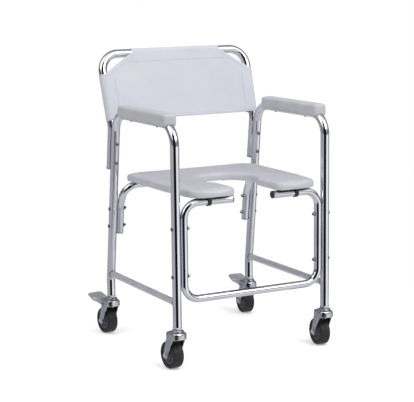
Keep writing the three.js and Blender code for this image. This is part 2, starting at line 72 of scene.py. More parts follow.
REAR_RAKE, RAKE_START = 0.13, 175
LEG_BOTTOM = 126
ARM_Z, ARM_BEND = 694, 60
RAIL_Z = 194
FOOTREST_Z = 199
STUB_END_X = 68
SEAT_TUBE_Z, SEAT_TUBE_BEND, SEAT_TUBE_INSET = 475, 45, 24.4
SEAT_TUBE_X = LEG_X - SEAT_TUBE_INSET
REAR_TUBE_BOTTOM, REAR_TUBE_TOP_Y, REAR_TUBE_KINK = 325, 160, 412
BACK_OFFSET, BACK_BOTTOM, BACK_KINK, BACK_LEAN = 27, 526, 650, 0.3
BACK_TOP, BACK_TOP_HALF, BACK_BEND = 865, 251, 55
FRONT_BOLTS = {"upper": 405, "lower": 269}
REAR_BOLTS = {"upper": 400, "lower": 346}
BACK_BOLTS = {"upper": 602, "lower": 544}


def rear_leg_y(z):
    return REAR_FOOT_Y - REAR_RAKE * max(0, z - RAKE_START)


def back_y(z):
    return rear_leg_y(BACK_KINK) + BACK_OFFSET + BACK_LEAN * (z - BACK_KINK)


def unit(v):
    v = np.array(v, float)
    return v / np.linalg.norm(v)


REAR_LEG_UP = unit((0, -REAR_RAKE, 1))
QUARTER = pi / 2


def configure(thing, **settings):
    for key, value in settings.items():
        setattr(thing, key, value)
    return thing


def ease(t):
    """A smooth rise from 0 to 1."""
    return t * t * (3 - 2 * t)


# ---- Materials ----


def tone(r, g, b):
    """A colour given in screen values, as the linear one that shaders take."""
    return tuple((c / 255 / 12.92) if c <= 10 else ((c / 255 + 0.055) / 1.055) ** 2.4 for c in (r, g, b))


class Nodes:
    """Short calls for one material's node tree."""

    def __init__(self, tree):
        self.tree = tree

    def put(self, value, socket):
        """Links another node's output to a socket, or sets a plain value there."""
        if isinstance(value, bpy.types.NodeSocket):
            self.tree.links.new(value, socket)
        else:
            socket.default_value = value

    def add(self, kind, inputs=(), **settings):
        node = configure(self.tree.nodes.new("ShaderNode" + kind), **settings)
        for socket, value in dict(inputs).items():
            self.put(value, node.inputs[socket])
        return node

    def math(self, operation, a, b=0):
        return self.add("Math", {0: a, 1: b}, operation=operation).outputs[0]

    def times(self, a, b):
        return self.math("MULTIPLY", a, b)

    def remap(self, value, low, high, to_low=0, to_high=1, kind="LINEAR"):
        inputs = {"Value": value, "From Min": low, "From Max": high, "To Min": to_low, "To Max": to_high}
        return self.add("MapRange", inputs, interpolation_type=kind).outputs["Result"]

    def step(self, value, low, high):
        """A smooth change from 0 at low to 1 at high, whichever of them is the larger."""
        return self.remap(value, low, high, kind="SMOOTHSTEP")

    def noise(self, vector, scale, detail=2, roughness=0.5):
        inputs = {"Vector": vector, "Scale": scale, "Detail": detail, "Roughness": roughness}
        return self.add("TexNoise", inputs).outputs["Fac"]

    def mix(self, factor, a, b):
        a, b = (c if isinstance(c, bpy.types.NodeSocket) else (*c, 1) for c in (a, b))
        return self.add("Mix", {0: factor, 6: a, 7: b}, data_type="RGBA").outputs[2]


def new_material(name):
    """A material, its node calls and its shader's inputs."""
    material = bpy.data.materials.new(name)
    material.use_nodes = True
    return material, Nodes(material.node_tree), material.node_tree.nodes["Principled BSDF"].inputs


def surface(name, colour, other, metallic, rough, mottle, grain, relief=None, **fixed):
    """A procedural surface. Two colours are mixed by a noise of scale mottle, rough is the range
    of roughness, grain is (scale, depth in micrometres), and relief adds its own height."""
    material, n, inputs = new_material(name)
    n.put(metallic, inputs["Metallic"])
    for socket, value in fixed.items():
        n.put(value, inputs[socket.replace("_", " ")])
    place_at = n.add("TexCoord").outputs["Object"]
    broad = n.noise(place_at, mottle, 4)
    fine = n.noise(place_at, grain[0], 3, 0.6)
    n.put(n.mix(n.remap(broad, 0.3, 0.7), tone(*colour), tone(*other)), inputs["Base Color"])
    blend = n.times(n.math("ADD", broad, fine), 0.5)
    n.put(n.remap(blend, 0.35, 0.65, *rough), inputs["Roughness"])
    height = n.times(fine, grain[1] * 1e-6)
    if relief:
        height = n.math("ADD", height, relief(n, place_at))
    bump = n.add("Bump", {"Height": height, "Distance": 1, "Strength": 1})
    n.put(bump.outputs["Normal"], inputs["Normal"])
    return material


def weave(n, _):
    """Plain weave of 1.1 mm yarns, on the cloth's own flat coordinates."""
    flat = n.add("Attribute", attribute_name="cloth").outputs["Vector"]
    parts = n.add("SeparateXYZ", {"Vector": flat}).outputs
    waves = [n.math("SINE", n.times(parts[i], 2 * pi / 0.0022)) for i in (0, 1)]
    return n.times(n.times(*waves), 0.00006)


def pebble(size, depth):
    """Leather-like cells, pressed into vinyl or moulded skin."""
    def relief(n, place_at):
        cells = n.add("TexVoronoi", {"Vector": place_at, "Scale": 1 / size}, feature="SMOOTH_F1")
        return n.times(cells.outputs["Distance"], depth)
    return relief


def drawn_lines(depth):
    """Fine lines along the tube that drawing and polishing leave."""
    def relief(n, place_at):
        lines = n.add("Mapping", {"Vector": place_at, "Scale": (1, 0.02, 1)}).outputs["Vector"]
        return n.times(n.noise(lines, 900, 1), depth)
    return relief


CHROME = surface("polished_tube", (228, 229, 235), (214, 215, 223), 1, (0.03, 0.1), 14, (260, 4))
SATIN = surface("satin_tube", (212, 211, 218), (198, 197, 205), 0.6, (0.5, 0.62), 30, (700, 10),
                drawn_lines(0.00002))
ZINC = surface("zinc", (206, 207, 212), (168, 170, 176), 1, (0.1, 0.3), 90, (500, 15))
PRESSED = surface("pressed_zinc", (200, 202, 206), (180, 182, 187), 0.5, (0.3, 0.44), 60, (500, 8))
WELD = surface("weld", (170, 168, 172), (120, 116, 118), 1, (0.3, 0.5), 160, (900, 60))
BOLT = surface("bolt_steel", (150, 152, 158), (118, 120, 127), 1, (0.25, 0.4), 200, (900, 10))
BLACK = surface("black_plastic", (40, 41, 45), (30, 31, 34), 0, (0.38, 0.52), 60, (1200, 30))
GREY = surface("grey_plastic", (150, 151, 158), (138, 139, 146), 0, (0.4, 0.55), 60, (1200, 30))
BOARD = surface("board", (66, 66, 72), (52, 52, 57), 0, (0.5, 0.7), 40, (800, 80))
VINYL = surface("seat_vinyl", (198, 198, 204), (190, 190, 198), 0, (0.4, 0.54), 22, (1500, 30),
                pebble(0.0016, 0.00012), Coat_Weight=0.08, Coat_Roughness=0.3)
SLING = surface("sling_vinyl", (207, 209, 217), (201, 203, 212), 0, (0.5, 0.64), 9, (1100, 30),
                weave, Sheen_Weight=0.15, Sheen_Roughness=0.5)
THREAD = surface("thread", (196, 198, 210), (184, 186, 198), 0, (0.6, 0.75), 300, (3000, 20))
FOAM = surface("arm_foam", (195, 196, 199), (187, 188, 192), 0, (0.5, 0.64), 26, (1400, 30),
               pebble(0.0012, 0.0001))
HUB = surface("hub_plastic", (104, 105, 112), (88, 89, 96), 0, (0.4, 0.55), 60, (1200, 30))
TYRE = surface("tyre", (28, 29, 31), (20, 21, 23), 0, (0.5, 0.7), 50, (1600, 60))

# ---- Mesh helpers ----
# A shape is (points, faces), with points in millimetres.


def joined(*shapes):
    points, faces, base = [], [], 0
    for shape_points, shape_faces in shapes:
        points.append(np.array(shape_points, float).reshape(-1, 3))
        faces += [[base + i for i in face] for face in shape_faces]
        base += len(points[-1])
    return np.vstack(points), faces


def shade(mesh, sharp):
    bm = bmesh.new()
    bm.from_mesh(mesh)
    bmesh.ops.remove_doubles(bm, verts=bm.verts, dist=1e-7)
    bmesh.ops.recalc_face_normals(bm, faces=bm.faces)
    for face in bm.faces:
        face.smooth = True
    for edge in bm.edges:
        edge.smooth = len(edge.link_faces) == 2 and edge.calc_face_angle(0) < radians(sharp)
    bm.to_mesh(mesh)
    bm.free()


def linked(name, data):
    obj = bpy.data.objects.new(name, data)
    scene.collection.objects.link(obj)
    return obj


def modify(obj, kind, **settings):
    configure(obj.modifiers.new(kind, kind), **settings)


def bevel(obj, width, sharp):
    """Rounds the edges that are sharper than an angle in degrees."""
    modify(obj, "BEVEL", width=width * MM, segments=2, limit_method="ANGLE",
              angle_limit=radians(sharp))


def piece(name, shape, material, node=None, body="frame", slot=None, sharp=32, soften=0):
    """A mesh object from a shape, riding on a CAD body, in place of a CAD node. The slot argument is
    not used. soften rounds its sharp edges."""
    points, faces = shape
    mesh = bpy.data.meshes.new(name)
    placed = (np.array(points, float).reshape(-1, 3) + (0, SHIFT_Y, 0)) * MM
    mesh.from_pydata(placed.tolist(), [], faces)
    shade(mesh, sharp)
    obj = linked(name, mesh)
    mesh.materials.append(material)
    if soften:
        bevel(obj, soften, sharp)
    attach(obj, body)
    if node:
        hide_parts(node)
    return obj


def across(axis):
    """Two directions at right angles to an axis."""
    axis = unit(axis)
    first = np.cross(axis, (0, 0, 1) if abs(axis[2]) < 0.9 else (1, 0, 0))
    first = unit(first)
    return first, np.cross(axis, first)


def spokes(u, v, count, phase=0):
    """Unit vectors round a circle, from u towards v."""
    angles = np.linspace(0, 2 * pi, count, endpoint=False) + phase
    return np.outer(np.cos(angles), u) + np.outer(np.sin(angles), v)


def bent_path(corners, bend, step=5):
    """Points and directions along straight runs, each inner corner rounded to a bend radius."""
    corners = [np.array(c, float) for c in corners]
    points, ways = [corners[0]], [unit(corners[1] - corners[0])]
    for before, corner, after in zip(corners, corners[1:], corners[2:]):
        a, b = unit(corner - before), unit(after - corner)
        turn = acos(max(-1, min(1, float(a @ b))))
        inward = unit(b - a * (a @ b))
        start = corner - a * bend * tan(turn / 2)
        steps = max(3, ceil(degrees(turn) / step))
        for k in range(steps + 1):
            angle = turn * k / steps
            points.append(start + a * bend * sin(angle) + inward * bend * (1 - cos(angle)))
            ways.append(a * cos(angle) + inward * sin(angle))
    points.append(corners[-1])
    ways.append(unit(corners[-1] - corners[-2]))
    return np.array(points), np.array(ways)


def rings(ways):
    """Two directions across a path at each point, carried along it without twisting."""
    first, second = across(ways[0])
    frames = [(first, second)]
    for way in ways[1:]:
        first = unit(first - way * (first @ way))
        frames.append((first, np.cross(way, first)))
    return frames


def skin(rows, wrap=True, flip=False):
    """Quads between rows of points of equal length."""
    count = len(rows[0])
    faces = []
    for first in range(0, count * (len(rows) - 1), count):
        for k in range(count if wrap else count - 1):
            a, b = first + k, first + (k + 1) % count
            faces.append([a, b, b + count, a + count][::-1 if flip else 1])
    return np.array(rows, float).reshape(-1, 3), faces


def capped(points, faces, count):
    """Closes both ends of a skin whose rows have count points."""
    last = len(points) - count
    return points, faces + [list(range(count))[::-1], list(range(last, last + count))]


def sweep(path, radius, bore=0, sides=36):
    """A round bar or a hollow tube along a path."""
    points, ways = path
    circles = [spokes(u, v, sides) for u, v in rings(ways)]
    outer, faces = skin([p + radius * circle for p, circle in zip(points, circles)])
    if not bore:
        return capped(outer, faces, sides)
    inner, inner_faces = skin([p + bore * circle for p, circle in zip(points, circles)], flip=True)
    base, last = len(outer), len(outer) - sides
    faces += [[base + i for i in face] for face in inner_faces]
    for k in range(sides):
        m = (k + 1) % sides
        faces.append([k, base + k, base + m, m])
        faces.append([last + m, base + last + m, base + last + k, last + k])
    return np.vstack((outer, inner)), faces


def tube(path, radius):
    return sweep(path, radius, radius - TUBE_WALL)


def turned(profile, origin, axis, segments=40, phase=0):
    """A lathe shape from (radius, along) pairs. A profile that ends where it starts is a ring."""
    axis, origin = unit(axis), np.array(origin, float)
    circle = spokes(*across(axis), segments, phase)
    points, faces = skin([origin + axis * a + circle * max(r, 1e-5) for r, a in profile])
    return (points, faces) if profile[0] == profile[-1] else capped(points, faces, segments)


def flat_ring(inner, outer, low, high):
    """A washer's profile."""
    return [(inner, low), (outer, low), (outer, high), (inner, high), (inner, low)]


def arc(centre, radius, start, end, steps=12):
    """Points of an arc, angles in radians."""
    return [(centre[0] + radius * cos(a), centre[1] + radius * sin(a))
            for a in np.linspace(start, end, steps + 1)]


def loft(levels):
    """A closed solid through (outline, z) levels of equal length."""
    return capped(*skin([[(x, y, z) for x, y in outline] for outline, z in levels]), len(levels[0][0]))


def moved(shape, matrix):
    """A shape put through a 4 by 4 matrix."""
    points = np.array(shape[0], float).reshape(-1, 3)
    matrix = np.array(matrix, float)
    return points @ matrix[:3, :3].T + matrix[:3, 3], shape[1]


# ---- Frame tubes ----


def side_frame_path(sign):
    x = sign * LEG_X
    return bent_path([(x, FRONT_LEG_Y, LEG_BOTTOM), (x, FRONT_LEG_Y, ARM_Z), (x, rear_leg_y(ARM_Z), ARM_Z),
                      (x, REAR_FOOT_Y, RAKE_START), (x, REAR_FOOT_Y, LEG_BOTTOM)], ARM_BEND)


def back_tube_bottom(sign):
    return np.array((sign * LEG_X, rear_leg_y(BACK_BOTTOM) + BACK_OFFSET, BACK_BOTTOM))


def mirrored_path(half, bend):
    """A bent path through the corners of the right half and their mirror images."""
    return bent_path([(-x, y, z) for x, y, z in half] + half[::-1], bend)


def build_tubes():
    front = [(x, FRONT_LEG_Y, z) for x, z in
             ((STUB_END_X, SEAT_TUBE_Z), (SEAT_TUBE_X, SEAT_TUBE_Z), (SEAT_TUBE_X, FOOTREST_Z))]
    rear = [(SEAT_TUBE_X, rear_leg_y(z), z) for z in (REAR_TUBE_BOTTOM, REAR_TUBE_KINK)]
    rear.append((SEAT_TUBE_X, REAR_TUBE_TOP_Y, SEAT_TUBE_Z))
    back = [back_tube_bottom(1), (LEG_X, back_y(BACK_KINK), BACK_KINK),
            (BACK_TOP_HALF, back_y(BACK_TOP), BACK_TOP)]
    for name, node, half, bend, radius in (
            ("front_tube", "front_frame_tube", front, SEAT_TUBE_BEND, SEAT_TUBE_R),
            ("rear_tube", "rear_seat_tube", rear, SEAT_TUBE_BEND, SEAT_TUBE_R),
            ("back_tube", "back_frame_tube", back, BACK_BEND, FRAME_R)):
        piece(name, tube(mirrored_path(half, bend), radius), CHROME, node)
    for side, sign in SIDES:
        piece(f"side_tube_{side}", tube(side_frame_path(sign), FRAME_R), CHROME, f"side_frame_{side}")
        build_rail(side, sign)


def build_rail(side, sign):
    """The lower side rail, its ends coped to the legs, and a weld bead round each end."""
    sides, reach = 36, FRAME_R + 0.2
    angles = np.linspace(0, 2 * pi, sides, endpoint=False)
    out = spokes((1, 0, 0), (0, 0, 1), sides)
    rows, beads = [], []
    for y, way in ((FRONT_LEG_Y, 1), (rear_leg_y(RAIL_Z), -1)):
        for radius in (RAIL_R, RAIL_R - TUBE_WALL):
            cope = way * np.sqrt(reach ** 2 - (radius * out[:, 0]) ** 2)
            rows.append(out * radius + (sign * LEG_X, y, RAIL_Z) + np.outer(cope, (0, 1, 0)))
        seam = rows[-2] + 0.7 * (out + (0, 0.4 * way, 0))
        ripple = 1.5 + 0.25 * np.sin(angles * 11)
        bead = [s + r * spokes(o, (0, way, 0), 10) for s, r, o in zip(seam, ripple, out)]
        beads.append(skin(bead + bead[:1]))
    front_outer, front_inner, rear_outer, rear_inner = rows
    rail = skin([front_outer, rear_outer, rear_inner, front_inner, front_outer])
    piece(f"side_rail_{side}", rail, SATIN, f"lower_side_rail_{side}")
    piece(f"rail_welds_{side}", joined(*beads), WELD, sharp=60)


def plug_shape(radius, lip, at, way):
    """A moulded end plug: a domed flange over the tube's end and a ribbed stem inside it."""
    flange, stem = radius + lip, radius - TUBE_WALL - 0.2
    profile = [(0, -3.4), (flange - 6, -3.4), (flange - 5.5, -3.9),
               *arc((flange - 1.6, -2.3), 1.6, -QUARTER, 0, 5), (flange, -0.3), (flange - 0.3, -0.05),
               (stem, -0.05), (stem, 4), (stem - 0.6, 4.6), (stem - 0.6, 6), (stem, 6.6), (stem, 11),
               (stem - 1, 12), (0, 12)]
    return turned(profile, at, way)


def build_plugs():
    for side, sign in SIDES:
        stub_end = (sign * STUB_END_X, FRONT_LEG_Y, SEAT_TUBE_Z)
        upright_end = (sign * SEAT_TUBE_X, rear_leg_y(REAR_TUBE_BOTTOM), REAR_TUBE_BOTTOM)
        for name, node, material, radius, lip, at, way in (
                ("stub_plug", "front_tube_cap", BLACK, SEAT_TUBE_R, 0, stub_end, (sign, 0, 0)),
                ("seat_tube_plug", "rear_tube_plug", GREY, SEAT_TUBE_R, 0, upright_end, REAR_LEG_UP),
                ("back_plug", "back_tube_plug", GREY, FRAME_R, 0.8, back_tube_bottom(sign), REAR_LEG_UP)):
            piece(f"{name}_{side}", plug_shape(radius, lip, at, way), material, f"{node}_{side}")


# ---- Bolts ----

HEAD_R, HEAD_HEIGHT, SOCKET_R = 5.8, 2.4, 2.2


def screw_bolt(start, way, grip):
    """A domed screw with a round socket, then a washer, a nut and the thread's end at its far side."""
    dome = [(HEAD_R * cos(a), -0.4 - (HEAD_HEIGHT - 0.4) * sin(a)) for a in np.linspace(0, 1.15, 7)]
    screw = [(0, 1.6 - HEAD_HEIGHT), (SOCKET_R - 0.1, 1.6 - HEAD_HEIGHT), (SOCKET_R, 0.1 - HEAD_HEIGHT),
             *dome[::-1], (HEAD_R, 0), (3, 0), (3, grip)]
    low, high = grip + 1, grip + 5
    nut = [(0, low), (4.7, low), (5.2, low + 0.5), (5.2, high - 0.4), (4.7, high), (0, high)]
    thread = [(0, high - 0.1)]
    for k in range(3):
        thread += [(2.6, high + 0.7 * k), (3, high + 0.35 + 0.7 * k)]
    thread += [(2.5, high + 2.3), (0, high + 2.3)]
    washer = flat_ring(3.1, 6, grip + 0.1, grip + 0.9)
    return joined(*[turned(profile, start, way, sides)
                    for profile, sides in ((screw, 30), (washer, 30), (nut, 6), (thread, 20))])


def build_bolts():
    cross_grip = FRAME_R + SEAT_TUBE_INSET + SEAT_TUBE_R + 0.7
    rake_room = HEAD_R * REAR_RAKE + 0.7
    back_grip = 2 * (FRAME_R + rake_room) + BACK_OFFSET
    for side, sign in SIDES:
        outside, inwards = sign * (LEG_X + FRAME_R + 0.35), (-sign, 0, 0)
        for level in ("upper", "lower"):
            front_z, rear_z, back_z = (bolts[level] for bolts in (FRONT_BOLTS, REAR_BOLTS, BACK_BOLTS))
            back_at = (sign * LEG_X, rear_leg_y(back_z) - FRAME_R - rake_room, back_z)
            for end, start, way, grip in (
                    ("front", (outside, FRONT_LEG_Y, front_z), inwards, cross_grip),
                    ("rear", (outside, rear_leg_y(rear_z), rear_z), inwards, cross_grip),
                    ("back", back_at, (0, 1, 0), back_grip)):
                piece(f"bolt_{end}_{side}_{level}", screw_bolt(start, way, grip), BOLT,
                      f"{end}_bolt_{side}_{level}", sharp=28)


# ---- Seat ----

SEAT_FRONT, SEAT_MID, SEAT_REAR = -260, -15, 164
SEAT_HALVES = (207, 218.5, 221)  # half the width at those three places
FRONT_CORNER, REAR_CORNER = 46, 26
HOLE_R, HOLE_Y, MOUTH_HALF, MOUTH_CORNER = 88, -80, 67, 24
BOARD_Z, BOARD_INSET, BOARD_THICK = 488, 12, 3.5
PAD_Z, PAD_VOXEL = 488.7, 4.5
# The pad's section as (inset, height) pairs, from its underside round its edge and over its top.
PAD_EDGE = ((3, 0), (0.8, 1.4), (0.2, 4), (0.2, 16.5), (1, 19.4), (3.2, 21.4), (7, 22.2),
            (18, 22.4), (30, 22.5))


def quadratic(a, b, c, steps=14):
    """The inner points of a curve from a to c that leaves and arrives towards b."""
    a, b, c = (np.array(p, float) for p in (a, b, c))
    shares = np.linspace(0, 1, steps + 1)[1:-1]
    return [tuple((1 - t) ** 2 * a + 2 * t * (1 - t) * b + t * t * c) for t in shares]


def seat_outline(inset):
    """Horseshoe, open to the front, with a round hole."""
    front, rear = SEAT_FRONT + inset, SEAT_REAR - inset
    front_half, mid_half, rear_half = (half - inset for half in SEAT_HALVES)
    mouth, radius = MOUTH_HALF + inset, HOLE_R + inset
    neck = sqrt(radius ** 2 - mouth ** 2)
    side_start, middle = (front_half, front + FRONT_CORNER), (mid_half, SEAT_MID)
    right = [(mouth, HOLE_Y - neck)]
    right += [(mouth, y) for y in np.linspace(HOLE_Y - neck, front + MOUTH_CORNER, 8)[1:-1]]
    right += arc((mouth + MOUTH_CORNER, front + MOUTH_CORNER), MOUTH_CORNER, pi, 1.5 * pi)
    right += arc((front_half - FRONT_CORNER, front + FRONT_CORNER), FRONT_CORNER, -QUARTER, 0)
    right += quadratic(side_start, (mid_half, side_start[1] + 60), middle) + [middle]
    right += quadratic(middle, (mid_half, SEAT_MID + 80), (rear_half, rear - REAR_CORNER))
    right += arc((rear_half - REAR_CORNER, rear - REAR_CORNER), REAR_CORNER, 0, QUARTER)
    right += [(x, rear) for x in np.linspace(rear_half - REAR_CORNER, 0, 8)[1:-1]]
    start = atan2(-neck, -mouth)
    hole = arc((0, HOLE_Y), radius, start, start - (2 * start + 3 * pi), 72)
    return right + [(-x, y) for x, y in right[::-1]] + hole[1:-1]


def distance_inside(points, outline):
    """How far each (x, y) is from an outline's nearest edge."""
    ring = np.array(outline)
    best = np.full(len(points), np.inf)
    for start, way in zip(ring, np.roll(ring, -1, axis=0) - ring):
        length = float(way @ way)
        if length > 1e-9:
            along = np.clip(((points - start) @ way) / length, 0, 1)
            gap = points - start - along[:, None] * way
            best = np.minimum(best, np.hypot(gap[:, 0], gap[:, 1]))
    return best


def apply_modifiers(obj):
    bpy.context.view_layer.update()
    graph = bpy.context.evaluated_depsgraph_get()
    mesh = bpy.data.meshes.new_from_object(obj.evaluated_get(graph), depsgraph=graph)
    obj.modifiers.clear()
    old, obj.data = obj.data, mesh
    mesh.name = obj.name
    bpy.data.meshes.remove(old)


def coordinates(mesh):
    points = np.empty(len(mesh.vertices) * 3)
    mesh.vertices.foreach_get("co", points)
    return points.reshape(-1, 3)


def set_coordinates(mesh, points):
    mesh.vertices.foreach_set("co", np.ascontiguousarray(points, float).ravel())
    mesh.update()


def smooth_faces(obj):
    for polygon in obj.data.polygons:
        polygon.use_smooth = True


def inflate(obj, pressure, cap, frames, held_below):
    """Cloth under pressure, held below a height; no point moves further than the cap."""
    rest = coordinates(obj.data)
    group = obj.vertex_groups.new(name="held")
    group.add([int(i) for i in np.nonzero(rest[:, 2] < held_below * MM)[0]], 1, "REPLACE")
    cloth = obj.modifiers.new("cloth", "CLOTH")
    configure(cloth.settings, use_pressure=True, uniform_pressure_force=pressure, vertex_group_mass="held",
              quality=6, tension_stiffness=25, compression_stiffness=25, bending_stiffness=1.5)
    cloth.settings.effector_weights.gravity = 0
    cloth.collision_settings.use_collision = False
    for f in range(1, frames + 1):
        scene.frame_set(f)
    apply_modifiers(obj)
    scene.frame_set(1)
    obj.vertex_groups.clear()
    push = coordinates(obj.data) - rest
    length = np.linalg.norm(push, axis=1)
    keep = cap * MM / np.maximum(length, cap * MM)
    set_coordinates(obj.data, rest + push * keep[:, None])


def build_seat():
    """The board, and the pad whose cover wraps round the board's edge."""
    board = loft([(seat_outline(BOARD_INSET), z) for z in (BOARD_Z, BOARD_Z + BOARD_THICK)])
    piece("seat_base", board, BOARD, "seat_board", soften=0.8)

    shape = loft([(seat_outline(inset), PAD_Z + rise) for inset, rise in PAD_EDGE])
    pad = piece("seat_cushion", shape, VINYL, "seat_pad", sharp=80)
    modify(pad, "REMESH", mode="VOXEL", voxel_size=PAD_VOXEL * MM, use_smooth_shade=True)
    apply_modifiers(pad)
    inflate(pad, pressure=3, cap=1.4, frames=14, held_below=PAD_Z + 2)
    points = coordinates(pad.data)
    inside = distance_inside(points[:, :2] / MM - (0, SHIFT_Y), seat_outline(0))
    height = points[:, 2] / MM - PAD_Z
    crown = 1.2 * (1 - np.exp(-inside / 26)) * np.clip((height - 14) / 8, 0, 1)
    points[:, 2] = np.maximum(points[:, 2] + crown * MM, PAD_Z * MM)
    set_coordinates(pad.data, points)
    modify(pad, "SMOOTH", factor=0.5, iterations=2)
    modify(pad, "SUBSURF", levels=1, render_levels=1)
    apply_modifiers(pad)
    smooth_faces(pad)


def dome(radius, height, start, lift=0):
    """A screw head's dome, from near its middle to its rim."""
    return [(radius * sin(a), lift - height * cos(a)) for a in np.linspace(start, 1.5, 6)]


def build_clips():
    """Black clips that hold the seat tubes up against the board: saddles in front, hooks behind."""
    inner, wall, flange, width = SEAT_TUBE_R + 0.2, 2.4, 10, 11
    outer, top = inner + wall, BOARD_Z - 0.35 - SEAT_TUBE_Z
    tip, low = outer + flange, top - wall
    under = [(-inner, 0), *arc((0, 0), inner, pi, 2 * pi, 24)[1:-1], (inner, 0)]
    rear_flange = [(inner, top), (tip, top), (tip, low), (outer, low)]
    front_flange = [(outer, 0), *arc((0, 0), outer, 0, -pi, 24)[1:-1], (-outer, 0), (-outer, low),
                    (-tip, low), (-tip, top), (-inner, top)]
    turn = Matrix(((0, 0, 1, 0), (1, 0, 0, 0), (0, 1, 0, 0), (0, 0, 0, 1)))
    head = [(0, -1.5), *dome(3.2, 1.7, 0.2, 0.1), (3.2, 0.2), (0, 0.2)]
    screw_y, screw_z = outer + flange / 2, SEAT_TUBE_Z + low - 0.2
    saddle, hook = under + rear_flange + front_flange, under + front_flange
    for end, y, x, outline, screw_sides in (("front", FRONT_LEG_Y, 143, saddle, (-1, 1)),
                                            ("rear", REAR_TUBE_TOP_Y, 120, hook, (-1,))):
        for side, sign in SIDES:
            at = (sign * x - width / 2, y, SEAT_TUBE_Z)
            strap = moved(loft([(outline, 0), (outline, width)]), Matrix.Translation(at) @ turn)
            piece(f"saddle_{end}_{side}", strap, BLACK, f"seat_clip_{end}_{side}", soften=0.5)
            screws = [turned(head, (sign * x, y + way * screw_y, screw_z), (0, 0, 1), 20)
                      for way in screw_sides]
            piece(f"saddle_screws_{end}_{side}", joined(*screws), BOLT)


# ---- Arm pads ----

ARM_HALF, ARM_FRONT, ARM_REAR, ARM_LOW, ARM_TOP = 22, -203, 107, 686.5, 723


def rounded_block(low, high, radii, cells):
    """A block whose edges are rounded by an ellipsoid of the given radii."""
    low, high, radii = (np.array(v, float) for v in (low, high, radii))
    bm = bmesh.new()
    bmesh.ops.create_cube(bm, size=1)
    for axis in range(3):
        normal = Vector(np.eye(3)[axis])
        for k in range(1, cells[axis]):
            bmesh.ops.bisect_plane(bm, geom=bm.verts[:] + bm.edges[:] + bm.faces[:],
                                   plane_co=normal * (k / cells[axis] - 0.5), plane_no=normal)
    bm.verts.index_update()
    points = np.array([v.co for v in bm.verts]) + 0.5
    faces = [[v.index for v in f.verts] for f in bm.faces]
    bm.free()
    points = low + (0.5 - 0.5 * np.cos(points * pi)) * (high - low)
    core = np.clip(points, low + radii, high - radii)
    out = (points - core) / radii
    length = np.maximum(np.linalg.norm(out, axis=1), 1e-9)[:, None]
    return core + out / length * radii * (np.max(np.abs(out), axis=1) > 1e-9)[:, None], faces


def build_arm_pads():
    head = [(0, -2.4), (1.5, -2.3), *dome(4.2, 2.2, 0.5), (4.2, 0.6), (0, 0.6)]
    for side, sign in SIDES:
        x = sign * LEG_X
        points, faces = rounded_block((x - ARM_HALF, ARM_FRONT, ARM_LOW), (x + ARM_HALF, ARM_REAR, ARM_TOP),
                                      (10, 12, 8), (14, 40, 12))
        crown = 1 - ((points[:, 0] - x) / ARM_HALF) ** 2
        points[:, 2] += np.clip((points[:, 2] - (ARM_TOP - 18)) / 18, 0, 1) * crown * 1.2
        pad = piece(f"arm_rest_{side}", (points, faces), FOAM, f"arm_pad_{side}", sharp=50)
        groove = piece("groove", sweep(side_frame_path(sign), FRAME_R + 0.3), FOAM)
        modify(pad, "BOOLEAN", operation="DIFFERENCE", solver="EXACT", object=groove)
        apply_modifiers(pad)
        bpy.data.objects.remove(groove)
        shade(pad.data, 40)
        screws = [turned(head, (x, y, ARM_Z - FRAME_R), (0, 0, 1), 24) for y in (-120, 50)]
        piece(f"arm_rest_screws_{side}", joined(*screws), BOLT)


# ---- Back sling ----

CLOTH = 1.1
SLING_BOTTOM, SLING_SIDE_TOP, SLING_TOP_HALF = 668, 804, 150
SLEEVE_SEAM = 32            # from the tube's middle to the sleeve's seam
WRAP_R = FRAME_R + 0.3 + CLOTH / 2
SLOPE = hypot(1, BACK_LEAN)
BACK_UP = np.array((0, BACK_LEAN, 1)) / SLOPE
BACK_OUT = np.array((0, -1, BACK_LEAN)) / SLOPE


def back_half(z):
    """The side tube's middle, from the chair's middle, at a height."""
    return LEG_X + (BACK_TOP_HALF - LEG_X) * (z - BACK_KINK) / (BACK_TOP - BACK_KINK)


def drape(a, v, width, height):
    """How far the stretched cloth hangs behind its plane, with a few faint pull lines that fan
    out from its upper and lower corners."""
    across_share = np.clip(1 - (a / width) ** 2, 0, 1)
    fall = np.clip(1 - v / height, 0, 1)
    bow = across_share * (2.2 + 3.6 * fall ** 2) * np.clip(1.15 - (v / height) ** 3, 0, 1)
    pulls = 0
    for side in (-1, 1):
        x = side * width - a
        for y, depth, spread, count, phase, clear in ((v - 0.62 * height, 0.55, 75, 9, side, 30),
                                                      (v, 0.45, 80, 11, 0.6, 25)):
            reach = np.hypot(x, y)
            waves = np.sin(np.arctan2(y, side * x) * count + phase)
            pulls += depth * np.exp(-reach / spread) * waves * np.clip(reach / clear, 0, 1)
    return -(bow + pulls * across_share ** 0.5)


def sleeve_section(drop):
    """The cloth's section from the tube's front, round behind it, and in to the seam:
    (outward, forward, length so far). drop is how far the panel hangs back at the seam."""
    seam = np.array((-SLEEVE_SEAM, WRAP_R - 1.2 * CLOTH + drop))
    leave = atan2(seam[1], seam[0]) + acos(WRAP_R / float(np.hypot(*seam))) - 2 * pi
    rows = [(WRAP_R * cos(a), WRAP_R * sin(a), WRAP_R * (QUARTER - a))
            for a in np.linspace(QUARTER, leave, 26)[1:]]
    last, wrapped = np.array(rows[-1][:2]), rows[-1][2]
    run = float(np.linalg.norm(seam - last))
    for t in np.linspace(0, 1, 7)[1:]:
        rows.append((*(last + (seam - last) * t), wrapped + run * t))
    return rows


